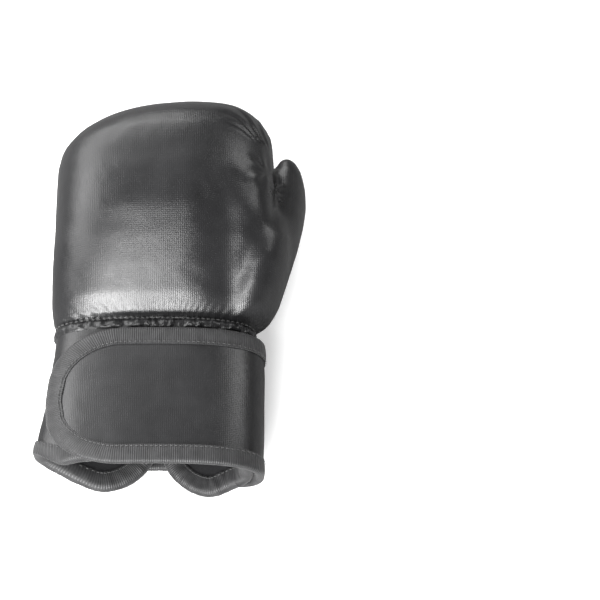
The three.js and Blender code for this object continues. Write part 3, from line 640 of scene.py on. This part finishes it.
cuff_back = padded_panel("cuff_back", (flap_fold, far_fold), level(CUFF_START), back_hem, (-CUFF_WALL, 0),
                         (leather, lining), rounded="b", puff=0.8, flare=1, crease=0.6)
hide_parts("cuff_back_cover", "cuff_back_pad", "cuff_back_lining")
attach(cuff_back, "hand")
flaps = {
    "thumb_flap": (flap_fold, mid_palm - SLIT_HALF, mid_palm, (0.050, 0.040)),
    "little_finger_flap": (far_fold, far_mid_palm + SLIT_HALF, far_mid_palm, (-0.074, -0.064)),
}
for body, (s_fold, s_slit, towards, turn) in flaps.items():
    flap = padded_panel(body, (s_fold, s_slit), level(CUFF_START), flap_end(s_fold, towards), (-CUFF_WALL, 0),
                        (leather, lining), rounded="be", puff=0.2, flare=1, crease=0.5)
    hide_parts(body + "_cover", body + "_pad", body + "_lining")
    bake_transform(flap)

# The edge tapes. Ribbed tape is folded over every raw edge of the cuff and the strap and sewn through. It is
# drawn in round the flaps' corners, so it puckers there.
TAPE_THICKNESS = 0.8
RIB_SCALE, TWIST_SCALE = 2.4, 1800
CUFF_TAPE_WIDTH, TAPE_PROUD = 9, 0.6
STITCH_INSET, STITCH_LIFT = 1.2, 0.9  # from the tape's edge, and above the tape

tape = Finish("ribbed_tape", (0.02, 0.02, 0.021), 0.55, Sheen_Weight=0.12, Sheen_Roughness=0.45)
along_tape = tape.coordinates(uv=True)
ribs = tape.node("ShaderNodeTexWave", bands_direction="X", Scale=RIB_SCALE, Distortion=0.5, Detail=1)
tape.wire(along_tape, ribs.inputs["Vector"])
tape_wear = tape.node("ShaderNodeTexNoise", Scale=1.6, Detail=5)
tape.wire(along_tape, tape_wear.inputs["Vector"])
tape.wire(tape.ramp(tape_wear.outputs["Fac"], (0.009, 0.009, 0.0095), (0.026, 0.026, 0.027), 0.3, 0.75),
          tape.shader.inputs["Base Color"])
tape.wire(tape.ramp(ribs.outputs["Fac"], grey(0.42), grey(0.68)), tape.shader.inputs["Roughness"])
tape.bump(ribs.outputs["Fac"], 0.0004, 0.45)

thread = Finish("thread_twist", (0.06, 0.06, 0.063), 0.5, Sheen_Weight=0.15)
twist = thread.node("ShaderNodeTexNoise", Scale=TWIST_SCALE, Detail=2)
thread.wire(thread.coordinates(), twist.inputs["Vector"])
thread.wire(thread.ramp(twist.outputs["Fac"], grey(0.018), grey(0.055), 0.3, 0.7),
            thread.shader.inputs["Base Color"])
thread.bump(twist.outputs["Fac"], 0.0002, 0.5)


def resample(path, step):
    """Evenly spaced points along an outline of the flat pattern, and the inward direction at each."""
    path = np.array(path, dtype=float)
    run = np.concatenate([[0], np.cumsum(np.hypot(*np.diff(path, axis=0).T))])
    count = max(3, int(run[-1] / step) + 1)
    at = np.linspace(0, run[-1], count)
    place_on = np.stack([np.interp(at, run, path[:, 0]), np.interp(at, run, path[:, 1])], axis=-1)
    along = np.gradient(place_on, axis=0)
    along /= np.linalg.norm(along, axis=1)[:, None] + 1e-9
    inward = np.stack([-along[:, 1], along[:, 0]], axis=-1)
    return at, place_on, inward


def folded_tape(name, path, width, lifts, flare=0, pucker=0.15, step=1.6, side=1):
    """Tape folded over the edge that path draws on the flat pattern. With side 1 the piece lies to the left
    of the path, and with side -1 to its right."""
    at, on_edge, inward = resample(path, step)
    inner, outer = lifts
    half = (outer - inner) / 2
    across = []
    for depth in np.linspace(width, 0, 7):
        across.append((depth, outer))
    for turn in (30, 60, 90, 120, 150):
        across.append((-half * 0.75 * math.sin(math.radians(turn)),
                       (inner + outer) / 2 + half * math.cos(math.radians(turn))))
    for depth in np.linspace(0, width, 6):
        across.append((depth, inner))
    across = np.array(across)
    piece = flat_grid(name, len(at) - 1, len(across) - 1)
    u, v, _ = raw(piece).T
    i = np.rint(u * (len(at) - 1)).astype(int)
    j = np.rint(v * (len(across) - 1)).astype(int)
    depth, lift = across[j, 0], across[j, 1]
    pull = pucker * np.array([noise.noise(Vector((at[k] / 3.1, d / 9, len(name)))) for k, d in zip(i, depth)])
    round_middle = hump(depth, width * 0.45, width * 0.4) * 0.5
    outwards = np.sign(lift - (inner + outer) / 2)
    spot = on_edge[i] + inward[i] * (depth * side)[:, None]
    set_uv(piece, at[i], depth)
    lift = lift + outwards * round_middle + pull * 3 * outwards
    set_points(piece, wrap(spot[:, 0], spot[:, 1], lift, flare))
    apply_modifier(piece, "SOLIDIFY", thickness=TAPE_THICKNESS * MM, offset=0)
    piece.data.materials.append(tape.material)
    select_none()
    piece.select_set(True)
    bpy.context.view_layer.objects.active = piece
    bpy.ops.object.mode_set(mode="EDIT")
    bpy.ops.mesh.select_all(action="SELECT")
    bpy.ops.mesh.normals_make_consistent(inside=False)
    bpy.ops.object.mode_set(mode="OBJECT")
    bpy.ops.object.shade_smooth_by_angle(angle=math.radians(60))
    return piece


def stitch_row(name, places, ups, length=2.2, radius=0.3):
    """A row of stitches: one small rounded stitch is modelled and copied along the places, lying flat."""
    select_none()
    bpy.ops.mesh.primitive_uv_sphere_add(segments=6, ring_count=5, radius=1)
    stitch = bpy.context.object
    shape = raw(stitch) * np.array([radius, radius, length / 2])
    faces = [list(face.vertices) for face in stitch.data.polygons]
    bpy.data.objects.remove(stitch)
    verts, polygons = [], []
    along = np.gradient(places, axis=0)
    for place_on, direction, up in zip(places, along, ups):
        z_axis = Vector(direction).normalized()
        y_axis = Vector(up).cross(z_axis).normalized()
        x_axis = y_axis.cross(z_axis)
        turn = Matrix((x_axis, y_axis, z_axis)).transposed()
        first = len(verts)
        verts += [tuple((turn @ Vector(p) + Vector(place_on)) * MM + wrist) for p in shape]
        polygons += [[first + k for k in face] for face in faces]
    mesh = bpy.data.meshes.new(name)
    mesh.from_pydata(verts, [], polygons)
    mesh.update()
    row = bpy.data.objects.new(name, mesh)
    bpy.context.scene.collection.objects.link(row)
    row.data.materials.append(thread.material)
    for face in row.data.polygons:
        face.use_smooth = True
    return row


def sewn(name, path, depth, lift, flare=0, step=3.0, side=1, **sizes):
    """Stitches in a line at a depth inside the edge that path draws, lying on the outside at a lift."""
    at, on_edge, inward = resample(path, step)
    spot = on_edge + inward * depth * side
    places = wrap(spot[:, 0], spot[:, 1], np.full(len(at), float(lift)), flare)
    higher = wrap(spot[:, 0], spot[:, 1], np.full(len(at), float(lift) + 1), flare)
    return stitch_row(name, places, higher - places, **sizes)


hem = [(s, float(back_hem(s))) for s in np.linspace(far_fold, flap_fold, 60)]
cuff_tape = folded_tape("cuff_hem_tape", hem, CUFF_TAPE_WIDTH, (-CUFF_WALL, TAPE_PROUD), flare=1, pucker=0.12)
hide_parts("cuff_back_binding")
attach(cuff_tape, "hand")
cuff_stitches = sewn("cuff_hem_stitches", hem, CUFF_TAPE_WIDTH - STITCH_INSET, TAPE_PROUD + STITCH_LIFT,
                     flare=1)
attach(cuff_stitches, "hand")


def flap_outline(s_fold, s_slit, towards):
    outline = flap_end(s_fold, towards)
    edge = [(s, float(outline(np.array([s]))[0])) for s in np.linspace(s_fold, s_slit, 60)]
    return edge + [(s_slit, y) for y in np.linspace(edge[-1][1] + 2, SLIT_TOP, 14)]


for body, (s_fold, s_slit, towards, turn) in flaps.items():
    outline = flap_outline(s_fold, s_slit, towards)
    side = 1 if s_fold < s_slit else -1
    flap_tape = folded_tape(body + "_tape", outline, CUFF_TAPE_WIDTH, (-CUFF_WALL, TAPE_PROUD), flare=1,
                            pucker=0.3, side=side)
    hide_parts(body + "_binding")
    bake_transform(flap_tape)
    for face, lift in (("outer", TAPE_PROUD + STITCH_LIFT), ("inner", -CUFF_WALL - STITCH_LIFT)):
        flap_stitches = sewn(body + "_" + face + "_stitches", outline, CUFF_TAPE_WIDTH - STITCH_INSET, lift,
                             flare=1, side=side)
        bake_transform(flap_stitches)

# The wrist welt. The mitt is gathered and sewn to the cuff under a narrow band of leather, which the gathers
# crumple, most of all towards the thumb.
WELT_START, WELT_LENGTH = 1.0, 10.5
WELT_SUNK, WELT_SWELL = -2.2, 4.6
FINE_CRUMPLE, COARSE_CRUMPLE, SIDEWAYS_CRUMPLE = 2.6, 2.4, 1.2
SEAM_STITCH_Y, SEAM_STITCH_LIFT = -0.6, 1.35
ring_start, ring_end = s_at(-90), s_at(270)
welt = flat_grid("wrist_welt_leather", 260, 9)
u, v, _ = raw(welt).T
s = ring_start + u * (ring_end - ring_start)
y = WELT_START - v * WELT_LENGTH
u_round = np.stack([np.cos(u * 2 * math.pi) * 50, np.sin(u * 2 * math.pi) * 50, v * 4], axis=-1)
crumple = np.array([noise.noise(Vector(p) / 2.6) for p in u_round])
coarse = np.array([noise.noise(Vector(p) / 7.5 + Vector((3, 3, 3))) for p in u_round])
thumbwards = 0.45 + 0.55 * hump(s, 25, 45)
lift = WELT_SUNK + WELT_SWELL * np.sin(np.clip(v * 1.06, 0, 1) * math.pi) ** 0.6
lift += thumbwards * (FINE_CRUMPLE * crumple + COARSE_CRUMPLE * coarse) * np.sin(v * math.pi)
y = y + SIDEWAYS_CRUMPLE * thumbwards * crumple * np.sin(v * math.pi)
set_uv(welt, s, y)
set_points(welt, wrap(s, y, lift, 0))
bpy.context.view_layer.objects.active = welt
bpy.ops.object.mode_set(mode="EDIT")
bpy.ops.mesh.select_all(action="SELECT")
bpy.ops.mesh.remove_doubles(threshold=0.00005)
bpy.ops.mesh.normals_make_consistent(inside=False)
bpy.ops.object.mode_set(mode="OBJECT")
apply_modifier(welt, "SOLIDIFY", thickness=0.7 * MM, offset=-1)
apply_modifier(welt, "SUBSURF", levels=1, render_levels=1)
select_none()
welt.select_set(True)
bpy.ops.object.shade_smooth()
welt.data.materials.append(leather.material)
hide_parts("wrist_welt")
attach(welt, "hand")
wrist_line = [(s, SEAM_STITCH_Y) for s in np.linspace(ring_end, ring_start, 90)]
wrist_stitches = sewn("wrist_stitches", wrist_line, 0, SEAM_STITCH_LIFT, step=3.2, length=2.5, radius=0.5)
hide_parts("wrist_thread")
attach(wrist_stitches, "hand")

# The strap. A wide band of leather over a thin core is sewn into the cuff at the little-finger side. It runs
# under the palm and round the thumb side, and its rounded end sticks down on the back with hook tape.
STRAP_TOP, STRAP_END = -11, -99
STRAP_IN, STRAP_OUT = 3.3, 7.3
STRAP_TAPE_WIDTH = 10
STRAP_STITCH_INSET, STRAP_STITCH_LIFT = 1.3, 1.0
TIP_RADIUS, TIP_X = 41, -58
PALM_CUT_BACK = 17
on_back_left = (table_angles > 90) & (table_angles < 180)
tip_s = float(np.interp(TIP_X, table_x[on_back_left][::-1], table_s[on_back_left][::-1]))
mid_side = s_at(0)


def tip_room(s):
    """How far the strap's two edges are drawn in at a place on the pattern, for the rounded end."""
    to_tip = np.clip(np.asarray(s, dtype=float) - tip_s, 0, TIP_RADIUS)
    return TIP_RADIUS - np.sqrt(TIP_RADIUS**2 - (TIP_RADIUS - to_tip) ** 2)


def strap_low(s):
    """The strap's lower edge, which is cut back where it passes under the palm and up to its root."""
    s = np.asarray(s, dtype=float)
    return STRAP_END + tip_room(s) + PALM_CUT_BACK * np.where(s > mid_palm, 1, hump(s, mid_palm, 38))


stretches = [
    ("strap_palm", (strap_start, mid_palm), "hand", "strap_palm", (-0.078, 0, 0.020), (-0.068, 0, 0.008)),
    ("strap_side", (mid_palm, mid_side), "strap_palm", "strap_side", (0.046, 0, 0.008), (0.056, 0, 0.020)),
    ("strap_end", (mid_side, tip_s), "strap_side", "strap_end", (0.0205, 0, 0.0), (0.004, 0, 0.0)),
]
for name, s_range, before_body, after_body, start, end in stretches:
    is_end = name == "strap_end"
    is_root = name == "strap_palm"
    flare = 1 if is_root else 0
    soft_edges = "tb" + ("e" if is_end else "") + ("s" if is_root else "")
    band = padded_panel(name + "_leather", s_range, lambda s: STRAP_TOP - tip_room(s), strap_low,
                        (STRAP_IN + 0.5, STRAP_OUT - 0.5), (leather, leather), rounded=soft_edges, edge=4,
                        puff=0.7, crease=0.28, flare=flare)
    covered = [name + "_cover", name + "_core", name + "_backing"]
    if is_root:
        covered.append("strap_root")
    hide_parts(*covered)
    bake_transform(band)
    rows = {}
    if is_end:
        upper = [(s, STRAP_TOP - float(tip_room(s))) for s in np.linspace(s_range[0], tip_s, 70)]
        lower = [(s, float(strap_low(s))) for s in np.linspace(tip_s, s_range[0], 70)]
        rows["_binding_tape"] = (upper + lower, [name + "_binding"])
    else:
        upper = [(s, STRAP_TOP) for s in np.linspace(*s_range, 50)]
        lower = [(s, float(strap_low(s))) for s in np.linspace(*s_range[::-1], 50)]
        rows["_upper_tape"] = (upper, [name + "_upper_binding"])
        rows["_lower_tape"] = (lower, [name + "_lower_binding"])
    for ending, (path, nodes) in rows.items():
        edge_tape = folded_tape(name + ending, path, STRAP_TAPE_WIDTH, (STRAP_IN, STRAP_OUT), flare=flare,
                                pucker=0.08)
        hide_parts(*nodes)
        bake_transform(edge_tape)
        edge_stitches = sewn(name + ending.replace("tape", "stitches"), path,
                             STRAP_TAPE_WIDTH - STRAP_STITCH_INSET, STRAP_OUT + STRAP_STITCH_LIFT,
                             flare=flare)
        if is_end:
            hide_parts("strap_end_thread")
        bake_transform(edge_stitches)

# The thumb tether. A short doubled band of the leather ties the thumb's tip to the fist across the notch. It
# is sewn into the seam at both ends.
TETHER_WIDTH, TETHER_THICKNESS = 11, 1.8
TETHER_PATH = [(63, 112, 44), (67, 110, 45), (71, 108.4, 45.5), (75, 108, 45.5), (79, 109, 45), (84, 111, 44)]
select_none()
tether = flat_grid("thumb_tether_band", 15, 6)
u, v, _ = raw(tether).T
spine = np.array(TETHER_PATH, dtype=float)
stations = np.linspace(0, 1, len(spine))
middle = np.stack([np.interp(u, stations, spine[:, k]) for k in range(3)], axis=-1)
middle[:, 2] += (v - 0.5) * TETHER_WIDTH
middle[:, 1] += 1.2 * np.cos((v - 0.5) * math.pi) - 0.6 * (v - 0.5) * 4
set_uv(tether, u * 20, v * TETHER_WIDTH)
set_points(tether, middle)
apply_modifier(tether, "SOLIDIFY", thickness=TETHER_THICKNESS * MM, offset=0)
apply_modifier(tether, "SUBSURF", levels=1, render_levels=1)
tether.data.materials.append(leather.material)
bpy.ops.object.shade_smooth()
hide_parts("thumb_tether")
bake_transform(tether)

# The thumb pocket. A sleeve of the lining holds the thumb inside its foam. It is sewn into the hand's lining.
POCKET_SHARE = 0.55
LINING_THICKNESS = 0.8
pocket_rings = []
for y, x, r, bottom, top in thumb_rings[1:-3]:
    middle_z = (bottom + top) / 2
    pocket_rings.append((y, x, r * POCKET_SHARE, middle_z - r * POCKET_SHARE, middle_z + r * POCKET_SHARE))
thumb_pocket = loft("thumb_pocket", pocket_rings, sides=28, power=2)
bpy.ops.object.mode_set(mode="EDIT")
bpy.ops.mesh.select_all(action="SELECT")
bpy.ops.mesh.bisect(plane_co=place(0, pocket_rings[0][0] + 1, 0), plane_no=(0, -1, 0), clear_outer=True)
bpy.ops.object.mode_set(mode="OBJECT")
apply_modifier(thumb_pocket, "SUBSURF", levels=1, render_levels=1)
apply_modifier(thumb_pocket, "SOLIDIFY", thickness=LINING_THICKNESS * MM, offset=-1)
thumb_pocket.data.materials.append(lining.material)
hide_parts("thumb_lining")
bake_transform(thumb_pocket)

# The hand's lining. A bag of the same twill is sewn to the cuff's lining at the wrist. It runs out over the
# palm and down into the well where the fingers curl.
BAG_MOUTH = -4.5
BAG_END = (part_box("hand_lining")[1].y - wrist.y) / MM - 3
bag_rings = [(-5, -6.5, 53, 17, 52), (6, -4, 49, 19, 53), (20, -1, 46, 22, 55), (60, 0, 44, 23, 56)]
bag_rings += [(BAG_END - 46, 0, 43, 20, 56), (BAG_END - 28, 0, 42.5, 12, 55), (BAG_END - 13, 0, 40, 10, 51)]
bag_rings += [(BAG_END - 5, 0, 32, 14, 44), (BAG_END, 0, 18, 21, 37)]
hand_bag = loft("hand_lining_bag", bag_rings, sides=48)
bpy.ops.object.mode_set(mode="EDIT")
bpy.ops.mesh.select_all(action="SELECT")
bpy.ops.mesh.bisect(plane_co=place(0, BAG_MOUTH, 0), plane_no=(0, -1, 0), clear_outer=True)
bpy.ops.object.mode_set(mode="OBJECT")
apply_modifier(hand_bag, "SUBSURF", levels=1, render_levels=1)
co = points(hand_bag)
set_points(hand_bag, co + normals(hand_bag) * (0.5 * ripple(co, 18, 4))[:, None])
apply_modifier(hand_bag, "SOLIDIFY", thickness=LINING_THICKNESS * MM, offset=-1)
bpy.ops.object.shade_smooth()
hand_bag.data.materials.append(lining.material)
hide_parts("hand_lining")
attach(hand_bag, "hand")

# The pieces that keep the shape of their solids: the firm knuckle foam, the grip bar, and the hook and loop
# tapes under the strap's end. They only get their finishes here.
foam = Finish("moulded_foam", (0.09, 0.09, 0.1), 0.9)
cells = foam.node("ShaderNodeTexVoronoi", Scale=700)
foam.wire(foam.coordinates(), cells.inputs["Vector"])
foam.bump(cells.outputs["Distance"], 0.0006, 0.6)
hook = Finish("hook_and_loop", (0.012, 0.012, 0.013), 0.8, Sheen_Weight=0.3)
pile = hook.node("ShaderNodeTexVoronoi", Scale=1100)
hook.wire(hook.coordinates(), pile.inputs["Vector"])
hook.bump(pile.outputs["Distance"], 0.0008, 0.9)
for node, finish in (("firm_knuckle_pad", foam), ("grip_bar", lining),
                     ("hook_tape", hook), ("loop_tape", hook)):
    cad = bpy.data.objects[node]
    cad.data.materials.clear()
    cad.data.materials.append(finish.material)
